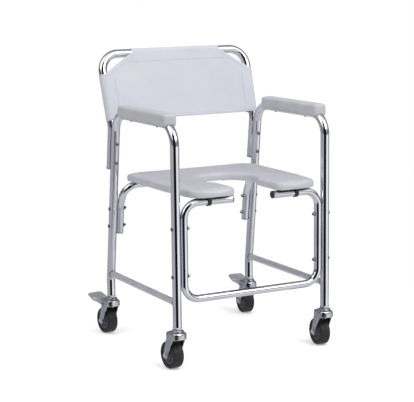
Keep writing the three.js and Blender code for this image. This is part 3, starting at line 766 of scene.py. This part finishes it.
def build_sling():
    height = (BACK_TOP - SLING_BOTTOM) * SLOPE
    side_top = (SLING_SIDE_TOP - SLING_BOTTOM) * SLOPE
    origin = np.array((0, back_y(SLING_BOTTOM), SLING_BOTTOM))

    def at(a, v, b):
        return origin + np.array((a, 0, 0)) + BACK_UP * v + BACK_OUT * b

    def half(v):
        """Half the panel's width, which the slanted corners narrow above side_top."""
        if v <= side_top + 1e-6:
            return back_half(SLING_BOTTOM + v / SLOPE)
        share = (v - side_top) / (height - side_top)
        return back_half(SLING_SIDE_TOP) * (1 - share) + SLING_TOP_HALF * share

    def hang(a, v):
        return float(drape(a, v, back_half(SLING_BOTTOM + v / SLOPE), height))

    heights = list(np.linspace(0, side_top, 31)) + list(np.linspace(side_top, height, 17))[1:]
    side_rows = 31
    steps = np.linspace(-1, 1, 97)
    grid, flat, faces = [], [], []

    def put(point, s, v):
        grid.append(point)
        flat.append((s, v, 0))
        return len(grid) - 1

    def weave_rows(rows):
        for a, b in zip(rows, rows[1:]):
            faces.extend([a[m], a[m + 1], b[m + 1], b[m]] for m in range(len(a) - 1))

    panel = [[put(at(a, v, WRAP_R + hang(a, v)), a, v) for a in steps * half(v)] for v in heights]
    weave_rows(panel)
    sleeves = {}
    for side, k_edge in ((-1, 0), (1, -1)):
        sleeves[side] = rows = [[row[k_edge]] for row in panel[:side_rows]]
        for row, v in zip(rows, heights):
            edge = half(v)
            for out, forward, length in sleeve_section(hang(edge - SLEEVE_SEAM, v)):
                row.append(put(at(side * (edge + out), v, forward), side * (edge + length), v))
        weave_rows(rows)
    columns = [[k] for k in panel[-1]]
    for column, a in zip(columns, steps * SLING_TOP_HALF):
        section = sleeve_section(hang(a, height - SLEEVE_SEAM))
        for out, forward, length in section:
            column.append(put(at(a, height + out, forward), a, height + length))
    weave_rows(list(zip(*columns)))

    grid, flat = np.array(grid), np.array(flat)
    sling = piece("back_cover", (grid, faces), SLING, "back_sling", sharp=80)
    store = sling.data.attributes.new("cloth", "FLOAT_VECTOR", "POINT")
    store.data.foreach_set("vector", (flat * MM).ravel())
    modify(sling, "SOLIDIFY", thickness=CLOTH * MM, offset=0, use_rim=True)
    apply_modifiers(sling)
    smooth_faces(sling)

    def whole_row(i):
        return grid[sleeves[-1][i][:0:-1] + panel[i] + sleeves[1][i][1:]]

    bottom, above = whole_row(0), whole_row(1)
    bindings, seams = [binding(bottom, above, 12)], [offset_line(bottom, above, 9.5)]
    for k_edge, step in ((0, 1), (len(steps) - 1, -1)):
        edge, inner = (grid[[row[k_edge + step * j] for row in panel[side_rows - 1:]]] for j in (0, 3))
        bindings.append(binding(edge, inner, 9))
        seams.append(offset_line(edge, inner, 7))
        sides = [(half(v) - SLEEVE_SEAM + 3, v) for v in np.linspace(12, side_top - 14, 30)]
        seams.append(np.array([at(-step * a, v, WRAP_R + hang(a, v)) for a, v in sides]))
    seam_v = height - SLEEVE_SEAM + 3
    seams.append(np.array([at(a, seam_v, WRAP_R + hang(a, seam_v))
                           for a in np.linspace(-SLING_TOP_HALF - 22, SLING_TOP_HALF + 22, 60)]))
    hem = piece("back_cover_binding", joined(*bindings), SLING, slot="sling_vinyl", sharp=50)
    stitches = piece("back_cover_stitches", joined(*[stitch_line(s) for s in seams]), THREAD, sharp=80)


def inward_and_normal(line, inner):
    """At each point of an edge: the way into the cloth, and the cloth's normal."""
    along = np.gradient(line, axis=0)
    along /= np.linalg.norm(along, axis=1)[:, None]
    inward = inner - line
    inward -= along * np.sum(inward * along, axis=1)[:, None]
    inward /= np.linalg.norm(inward, axis=1)[:, None]
    return inward, np.cross(along, inward)


def binding(line, inner, width):
    """A folded strip over the cloth's edge."""
    near, far = CLOTH / 2 + 0.12, CLOTH / 2 + 0.75
    outer = [(width, far), (width * 0.5, far), (0.6, far), (-0.5, far * 0.6)]
    section = [(width, near), *outer, (-0.8, 0), *[(a, -b) for a, b in outer[::-1]], (width, -near),
               (0.4, -near), (0.1, 0), (0.4, near)]
    rows = [[p + i * a + n * b for a, b in section] for p, i, n in zip(line, *inward_and_normal(line, inner))]
    return capped(*skin(rows), len(section))


def offset_line(line, inner, distance):
    return line + inward_and_normal(line, inner)[0] * distance


def stitch_line(line, pitch=4.2, length=2.9, radius=0.38):
    """Raised thread along a line, on both faces of the cloth."""
    gaps = np.linalg.norm(np.diff(line, axis=0), axis=1)
    run = np.concatenate(([0], np.cumsum(gaps)))
    profile = [(0, 0), (radius * 0.7, 0.25), (radius, 0.7), (radius, length - 0.7),
               (radius * 0.7, length - 0.25), (0, length)]
    lift = BACK_OUT * (CLOTH / 2 + 0.7)
    shapes = []
    for s in np.arange(pitch / 2, run[-1] - length, pitch):
        a, b = (np.array([np.interp(t, run, line[:, i]) for i in range(3)]) for t in (s, s + length))
        way = unit(b - a)
        if abs(way @ BACK_OUT) <= 0.35:
            shapes += [turned(profile, a + lift * face, way, 6) for face in (1, -1)]
    return joined(*shapes)


# ---- Casters ----

CROWN_HALF, CROWN_FRONT, CROWN_REAR, SHEET = 22.5, -23, 25, 2.5
SHOULDER_Y, SKIRT, FOOT_R, TYRE_HALF = CROWN_FRONT + 15, 19, 11, 16.5


def cheek_edges(z):
    """Front and rear edges of a cheek at a height."""
    skirt_z = CROWN_TOP - SKIRT
    if z >= skirt_z:
        return SHOULDER_Y, CROWN_REAR
    if z > AXLE_Z:
        share = (skirt_z - z) / (skirt_z - AXLE_Z)
        return (SHOULDER_Y + (TRAIL - FOOT_R - SHOULDER_Y) * share,
                CROWN_REAR + (TRAIL + FOOT_R - CROWN_REAR) * share)
    reach = max(sqrt(max(FOOT_R ** 2 - (AXLE_Z - z) ** 2, 0)), 0.6)
    return TRAIL - reach, TRAIL + reach


def fork_shape():
    """A pressed fork in one sheet: a flat crown, a hood round its front, and a cheek at each side
    that tapers to a round foot. Drawn about its stem, trailing along +Y."""
    half, bend, across_count, front_count, squareness = CROWN_HALF - SHEET / 2, 5, 9, 17, 0.88
    top, skirt_z = CROWN_TOP - SHEET / 2, CROWN_TOP - SKIRT
    nose = SHOULDER_Y - CROWN_FRONT - SHEET / 2

    def ring(inset, z):
        front, rear = cheek_edges(z)
        side = [(-half + inset, y, z) for y in np.linspace(rear, front, across_count)]
        if z < skirt_z - 1e-6:
            return side
        hood = []
        for a in np.linspace(pi, 2 * pi, front_count)[1:-1]:
            c, d = copysign(abs(cos(a)) ** squareness, cos(a)), -abs(sin(a)) ** squareness
            hood.append(((half - inset) * c, SHOULDER_Y + (nose - inset) * d, z))
        return side + hood + [(-x, y, z) for x, y, z in side[::-1]]

    corner = [(bend - bend * sin(a), top - bend + bend * cos(a)) for a in np.linspace(0, QUARTER, 7)]
    corner += [(0, z) for z in np.linspace(top - bend, skirt_z, 8)[1:]]
    rows = [ring(inset, z) for inset, z in corner]
    points, faces = skin(rows, wrap=False)
    count = len(rows[0])
    faces.append(list(range(count))[::-1])
    points, last = list(points), count * (len(rows) - 1)
    low = [*np.linspace(skirt_z, AXLE_Z, 16)[1:]]
    low += [AXLE_Z - FOOT_R * sin(a) for a in np.linspace(0, QUARTER, 9)[1:]]
    for mirror in (1, -1):
        above = [last + k if mirror > 0 else last + count - 1 - k for k in range(across_count)]
        for z in low:
            below = [len(points) + k for k in range(across_count)]
            points += [np.array((mirror * x, y, z)) for x, y, z in ring(0, z)]
            faces += [[above[k], above[k + 1], below[k + 1], below[k]][::mirror]
                      for k in range(across_count - 1)]
            above = below
    return np.array(points), faces


def stem_shape():
    """Ball race, dust cap, hexagon collar, the plug that goes up the leg, and the rivet."""
    low, leg, rivet = CROWN_TOP + 0.3, LEG_BOTTOM, CROWN_TOP - 3.9
    race = [(4.9, low), (17.2, low), *arc((17.2, low + 1.3), 1.3, -QUARTER, QUARTER, 6), (16.2, low + 2.9),
            *arc((16.6, low + 4.1), 1.1, -QUARTER, pi / 3, 5), (15, low + 6.2), (13.2, low + 7.2),
            (4.9, low + 7.2), (4.9, low)]
    nut = [(0, low + 7.3), (14.2, low + 7.3), (15.2, low + 8.2), (15.2, leg - 1.2), (14.4, leg - 0.4),
           (0, leg - 0.4)]
    plug = [(0, leg - 1), (10.4, leg - 1), (10.4, leg + 37), (0, leg + 37)]
    pin = [(0, rivet - 2.8), (4, rivet - 2.8), *arc((6.4, rivet - 1.2), 1.6, -QUARTER, 0, 4), (8, rivet),
           (4.9, rivet), (4.9, low + 7), (0, low + 7)]
    return joined(*[turned(profile, (0, 0, 0), (0, 0, 1), sides, phase) for profile, sides, phase in (
        (race, 48, 0), (nut, 6, pi / 6), (plug, 32, 0), (pin, 32, 0))])


def axle_shape():
    """Hexagon bolt, washers and nut through the fork's feet."""
    at, way = (0, TRAIL, AXLE_Z), (1, 0, 0)
    side = CROWN_HALF + 0.3
    shank = [(0, -side - 0.5), (3.95, -side - 0.5), (3.95, side + 5.2), (3.4, side + 5.8), (0, side + 5.8)]
    shapes = [turned(shank, at, way, 24)]
    for sign in (-1, 1):
        low, high = sorted((sign * side, sign * (side + 0.9)))
        shapes.append(turned(flat_ring(4.1, 8.2, low, high), at, way, 32))
        low, high = sorted((sign * (side + 1), sign * (side + 4.6)))
        nut = [(0, low), (6, low), (6.5, low + 0.5), (6.5, high - 0.5), (6, high), (0, high)]
        shapes.append(turned(nut, at, way, 6))
    return joined(*shapes)


def both_sides(half):
    """A wheel part's closed profile from its half at one side of the middle."""
    return half + [(r, -a) for r, a in half[::-1]] + half[:1]


def tyre_shape():
    """Solid tyre with a slightly crowned tread, rounded shoulders and a mould line."""
    inner, tread, shoulder, side = 26, 39.7, 4.5, -TYRE_HALF
    half = [(inner, side + 3), (inner + 2, side + 1.4), (inner + 4.5, side + 0.7), (inner + 5, side),
            *arc((tread - shoulder, side + shoulder), shoulder, -QUARTER, 0, 8),
            (tread + 0.1, -6), (tread + 0.15, -0.6), (tread + 0.3, -0.25)]
    return turned(both_sides(half), (0, TRAIL, AXLE_Z), (1, 0, 0), 72)


def hub_shape():
    """Moulded hub: rim, dished web with six ribs on each side, and a boss round the axle."""
    at, way = (0, TRAIL, AXLE_Z), (1, 0, 0)
    half = [(4.4, -16.8), (8.6, -16.8), (9.4, -16.1), (10.2, -8.5), (12, -7), (19, -6.2), (22, -7),
            (23.2, -12.8), (23.8, -13.4), (25.4, -13.4), (25.8, -13)]
    shapes = [turned(both_sides(half), at, way, 64)]
    sides = [[0, 1, 2, 3], [7, 6, 5, 4], [0, 4, 5, 1], [1, 5, 6, 2], [2, 6, 7, 3], [3, 7, 4, 0]]
    for k in range(6):
        angle = pi * k / 3 + 0.3
        radial, side = (0, cos(angle), sin(angle)), (0, -sin(angle), cos(angle))
        for sign in (-1, 1):
            rib = [np.array(at) + np.array(radial) * r + np.array(side) * w + np.array(way) * sign * x
                   for r, depth in ((9.6, 13.8), (22.6, 10.8))
                   for w, x in ((-1.2, 5.4), (1.2, 5.4), (0.8, depth), (-0.8, depth))]
            shapes.append((rib, sides))
    return joined(*shapes)


# (y, z) of the pedal's pivot and tip, half its width at its neck and tip, and its sheet.
PEDAL_PIVOT, PEDAL_TIP, PEDAL_NECK_HALF, PEDAL_TIP_HALF, PEDAL_SHEET = (19, 97), (110, 109), 17, 25, 2.4


def pedal_shape():
    """Pressed pedal: a plate with turned-down edges that flares to the foot, a lip at its tip,
    and grip ribs across it."""
    (y0, z0), (y1, z1) = PEDAL_PIVOT, PEDAL_TIP
    run = hypot(y1 - y0, z1 - z0)
    along, up = np.array((0, y1 - y0, z1 - z0)) / run, np.array((0, z0 - z1, y1 - y0)) / run
    corner, ribs_from, ribs_to = 7, run * 0.62, run * 0.9

    def half_width(s):
        share = ease(np.clip((s / run - 0.42) / 0.24, 0, 1))
        width = PEDAL_NECK_HALF + (PEDAL_TIP_HALF - PEDAL_NECK_HALF) * share
        ending = max(0, s - (run - corner))
        return width - (corner - sqrt(max(corner ** 2 - ending ** 2, 0)))

    rows = []
    for s in list(np.linspace(-4, run * 0.9, 30)) + list(np.linspace(run * 0.91, run, 9)):
        w = half_width(s)
        skirt = 1.5 + 8.5 * ease(np.clip((run * 0.95 - s) / (run * 0.5), 0, 1))
        lip = 3.2 * np.clip((s - run * 0.9) / (run * 0.1), 0, 1) ** 2
        wave = max(0, cos((s - ribs_from) * 2 * pi / 8)) ** 3 if ribs_from < s < ribs_to else 0
        row = []
        for t in np.linspace(-1, 1, 21):
            edge = np.clip((abs(t) - 0.8) / 0.2, 0, 1)
            drop = skirt * edge ** 1.6 + 0.5 * t * t
            rise = lip - drop + (0.7 * wave if abs(t) < 0.75 else 0)
            row.append(np.array((np.clip(t * 1.12, -1, 1) * w, y0, z0)) + along * s + up * rise)
        rows.append(row)
    return skin(rows, wrap=False)


def pedal_pin_shape():
    """The pedal's hinge pin with its two heads, and the brake shoe under the pedal."""
    y0, z0 = PEDAL_PIVOT
    end = CROWN_HALF + 1.6
    half = [(0, -end - 1.2), (2.6, -end - 1.2), (4.2, -end - 0.4), (4.2, -end + 1.2), (3, -end + 1.2)]
    pin = half + [(r, -a) for r, a in half[::-1]]
    shoe = rounded_block((-14, y0 + 6.2, z0 - 12.4), (14, y0 + 13.8, z0 - 0.6), (1.5, 1.5, 1.5), (8, 6, 8))
    return joined(turned(pin, (0, y0, z0), (1, 0, 0), 24), shoe)


def thicken(obj, thickness):
    """Gives an open strip its sheet thickness and rounds the cut edges."""
    modify(obj, "SOLIDIFY", thickness=thickness * MM, offset=0, use_rim=True)
    bevel(obj, 0.5, 50)
    apply_modifiers(obj)
    shade(obj.data, 40)


def caster_part(kind, corner, shape, *how, **looks):
    """A caster's piece, turned as the wheel's axle is and put under its leg."""
    axle = JOINTS[f"wheel_spin_{corner}"]["axis"]
    x, y, _ = pivot(f"caster_swivel_{corner}")
    turn = Matrix.Rotation(atan2(axle[1], axle[0]), 4, "Z")
    placed = moved(shape, Matrix.Translation((x, y - SHIFT_Y, 0)) @ turn)
    return piece(f"{kind}_{corner}", placed, *how, **looks)


def build_casters():
    for corner in [f"{end}_{side}" for end in ("front", "rear") for side, _ in SIDES]:
        fork_body, wheel_body = f"fork_{corner}", f"wheel_{corner}"
        caster_part("race", corner, stem_shape(), ZINC, f"caster_stem_{corner}", soften=0.25)
        fork = caster_part("fork", corner, fork_shape(), ZINC, f"caster_fork_{corner}", fork_body, sharp=80)
        thicken(fork, SHEET)
        caster_part("axle", corner, axle_shape(), PRESSED, f"caster_axle_{corner}", fork_body, "bolt_steel",
                    sharp=28)
        caster_part("hub", corner, hub_shape(), HUB, f"wheel_hub_{corner}", wheel_body, soften=0.3)
        caster_part("tyre", corner, tyre_shape(), TYRE, f"wheel_tyre_{corner}", wheel_body, sharp=50)
    for side, _ in SIDES:
        corner, body = f"rear_{side}", f"pedal_{side}"
        pedal = caster_part("pedal", corner, pedal_shape(), PRESSED, f"brake_pedal_{side}", body, "zinc",
                            sharp=80)
        thicken(pedal, PEDAL_SHEET)
        caster_part("pedal_pin", corner, pedal_pin_shape(), ZINC, None, body, "zinc")


# ---- Camera, light and floor ----

CAMERA_AT = (-1.9033, -3.5125 + SHIFT_Y * MM, 1.1105)
CAMERA_YAW, CAMERA_PITCH, CAMERA_ROLL = (radians(a) for a in (28.127, 9.668, -0.67))
FOCAL_PIXELS, FRAME_PIXELS, SENSOR = 1351, 414, 36
# Level directions: from the chair towards the camera, and to the right as the camera sees it.
AHEAD = np.array((-sin(CAMERA_YAW), -cos(CAMERA_YAW), 0))
BESIDE = np.array((cos(CAMERA_YAW), -sin(CAMERA_YAW), 0))


def build_camera():
    pitch, roll = CAMERA_PITCH, CAMERA_ROLL
    forward = -AHEAD * cos(pitch) - np.array((0, 0, sin(pitch)))
    up = np.cross(BESIDE, forward)
    turned_right = BESIDE * cos(roll) + up * sin(roll)
    turned_up = -BESIDE * sin(roll) + up * cos(roll)
    data = bpy.data.cameras.new("camera")
    configure(data, sensor_width=SENSOR, lens=FOCAL_PIXELS / FRAME_PIXELS * SENSOR)
    camera = linked("camera", data)
    matrix = Matrix.Identity(4)
    for column, axis in enumerate((turned_right, turned_up, -forward, CAMERA_AT)):
        for row in range(3):
            matrix[row][column] = axis[row]
    camera.matrix_world = matrix
    scene.camera = camera


# The studio's walls as (turn, brightness). A turn is in degrees, from AHEAD towards BESIDE. Heights
# are the upward part of a direction, from -1 to 1.
WALLS = ((-180, 0.2), (-150, 0.26), (-128, 0.42), (-98, 0.46), (33, 0.46), (37, 1.05), (88, 1.05),
         (104, 0.36), (180, 0.2))
STRIP, STRIP_SHARE, OVERHEAD = (0.1, 0.1, 0.11), 0.8, (1.15, 1.15, 1.16)
GAP, GROUND = (0.006, 0.006, 0.008), (0.68, 0.68, 0.69)
DOME_LOW, DOME_HIGH = (0.5, 0.5, 0.51), (0.86, 0.86, 0.87)


def at_turn(angle):
    """Where an angle in degrees lies on the studio's round, from 0 to 1."""
    return (angle + 180) / 360


def build_world():
    """A studio. What the polished tube mirrors is a dark gap on the camera's side, a tall soft box
    at its right, walls that darken behind the chair, a dark strip at the horizon, a bright ceiling
    on the camera's side and a grey floor. Other surfaces get a soft dome, and the camera sees white."""
    world = bpy.data.worlds.new("studio")
    scene.world = world
    world.use_nodes = True
    world.node_tree.nodes.clear()
    n = Nodes(world.node_tree)
    way = n.add("TexCoord").outputs["Generated"]
    beside, ahead = (n.add("VectorMath", {0: way, 1: axis}, operation="DOT_PRODUCT").outputs["Value"]
                     for axis in (BESIDE, AHEAD))
    height = n.add("SeparateXYZ", {"Vector": way}).outputs["Z"]
    turn = n.remap(n.math("ARCTAN2", beside, ahead), -pi, pi)
    ramp = n.add("ValToRGB", {"Fac": turn})
    elements = ramp.color_ramp.elements
    for k, (angle, value) in enumerate(WALLS):
        element = elements[k] if k < 2 else elements.new(at_turn(angle))
        element.position = at_turn(angle)
        element.color = (value, value, value * 1.06 if value < 1 else value, 1)
    strip = n.times(n.step(height, -0.06, -0.01), n.step(height, 0.34, 0.22))
    overhead = n.times(n.step(height, 0.26, 0.44), n.step(ahead, -0.15, 0.2))
    gap = n.times(n.step(turn, at_turn(-32), at_turn(-28)), n.step(turn, at_turn(34), at_turn(31)))
    gap = n.times(gap, n.step(height, 0.88, 0.7))
    mirrored = ramp.outputs["Color"]
    for share, colour in ((n.times(strip, STRIP_SHARE), STRIP), (overhead, OVERHEAD), (gap, GAP),
                          (n.step(height, -0.32, -0.46), GROUND)):
        mirrored = n.mix(share, mirrored, colour)
    rays = n.add("LightPath").outputs
    lit_colour = n.mix(rays["Is Glossy Ray"], n.mix(n.step(height, -0.3, 0.8), DOME_LOW, DOME_HIGH), mirrored)
    lit, seen = (n.add("Background", {"Color": colour, "Strength": 1}).outputs[0]
                 for colour in (lit_colour, (1, 1, 1, 1)))
    mixed = n.add("MixShader", {"Fac": rays["Is Camera Ray"], 1: lit, 2: seen}).outputs[0]
    n.add("OutputWorld", {"Surface": mixed})


def build_lights():
    """Two square soft boxes. turn is from AHEAD towards BESIDE, and both angles are in degrees."""
    centre = Vector((0, 0, 0.45))
    for name, turn, rise, distance, size, watts in (("key", 48, 42, 3.2, 1.8, 42),
                                                    ("fill", -60, 50, 3.4, 2.2, 12)):
        turn, rise = radians(turn), radians(rise)
        level = AHEAD * cos(turn) + BESIDE * sin(turn)
        way = Vector(level * cos(rise) + np.array((0, 0, sin(rise))))
        lamp = bpy.data.lights.new(name, "AREA")
        light = linked(name, configure(lamp, shape="SQUARE", size=size, energy=watts))
        facing = way.to_track_quat("Z", "Y").to_matrix().to_4x4()
        light.matrix_world = Matrix.Translation(centre + way * distance) @ facing


def build_floor(radius=1.6, fade_from=0.5, fade_to=1, glow=0.28):
    """A pale floor that fades out round the chair."""
    mesh = bpy.data.meshes.new("floor")
    mesh.from_pydata((spokes((1, 0, 0), (0, 1, 0), 96) * radius).tolist(), [], [list(range(96))])
    floor = linked("floor", mesh)
    floor.visible_glossy = False
    material, n, inputs = new_material("floor")
    at = n.add("TexCoord").outputs["Object"]
    colour = n.mix(n.noise(at, 3), (0.93, 0.93, 0.935), (0.95, 0.95, 0.95))
    for socket, value in (("Base Color", colour), ("Roughness", 0.8), ("Specular IOR Level", 0.1),
                          ("Emission Color", (1, 1, 1, 1)), ("Emission Strength", glow)):
        n.put(value, inputs[socket])
    far = n.add("VectorMath", {0: at}, operation="LENGTH").outputs["Value"]
    clear = n.add("BsdfTransparent").outputs[0]
    nodes = material.node_tree.nodes
    opaque = nodes["Principled BSDF"].outputs[0]
    mixed = n.add("MixShader", {"Fac": n.step(far, fade_from, fade_to), 1: opaque, 2: clear}).outputs[0]
    n.put(mixed, nodes["Material Output"].inputs["Surface"])
    mesh.materials.append(material)


for build in (build_camera, build_world, build_lights, build_floor, build_tubes, build_plugs, build_bolts,
              build_seat, build_clips, build_arm_pads, build_sling, build_casters):
    build()

scene.view_settings.view_transform = "Standard"
